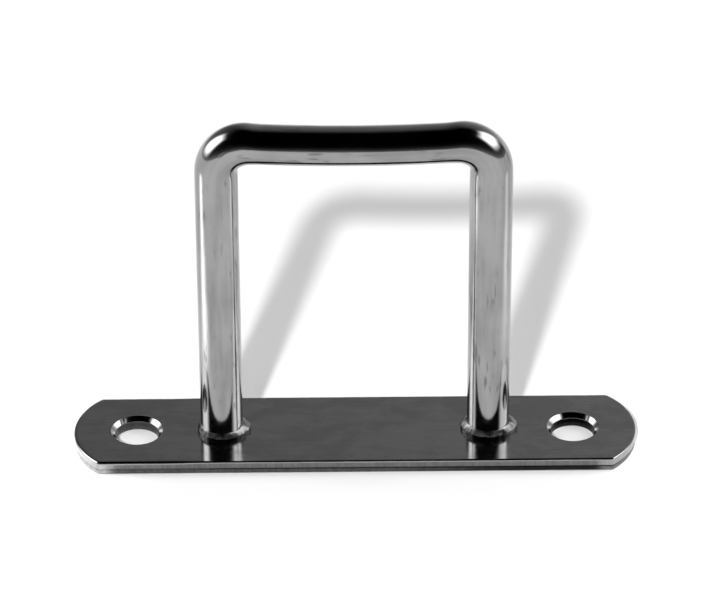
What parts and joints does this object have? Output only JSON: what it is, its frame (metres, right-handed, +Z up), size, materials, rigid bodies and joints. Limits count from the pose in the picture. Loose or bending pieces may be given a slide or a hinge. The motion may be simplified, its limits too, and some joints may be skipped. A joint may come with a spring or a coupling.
{
  "type": "pad eye",
  "caption": "Welded pad eye: a square-cornered bow of round bar standing on a flat strip with rounded ends, a screw hole near each end.",
  "frame": {"origin": "middle of the base plate's underside, where the fitting sits on the deck", "axes": "+X along the plate from one screw hole to the other, +Y across the plate, +Z up through the eye"},
  "size_m": [0.08, 0.0164, 0.0518],
  "materials": {
    "plate_steel": "polished stainless strip, fine scratches, sheared edges",
    "bar_steel": "polished stainless bar with faint drawing marks and pits",
    "weld_metal": "rippled weld bead, brushed and part polished",
    "root_weld_metal": "weld ground flush with the underside"
  },
  "bodies": {
    "root": {"base_plate": "plate_steel", "bow": "bar_steel", "left_weld_bead": "weld_metal", "right_weld_bead": "weld_metal", "left_root_weld": "root_weld_metal", "right_root_weld": "root_weld_metal"}
  },
  "joints": []
}
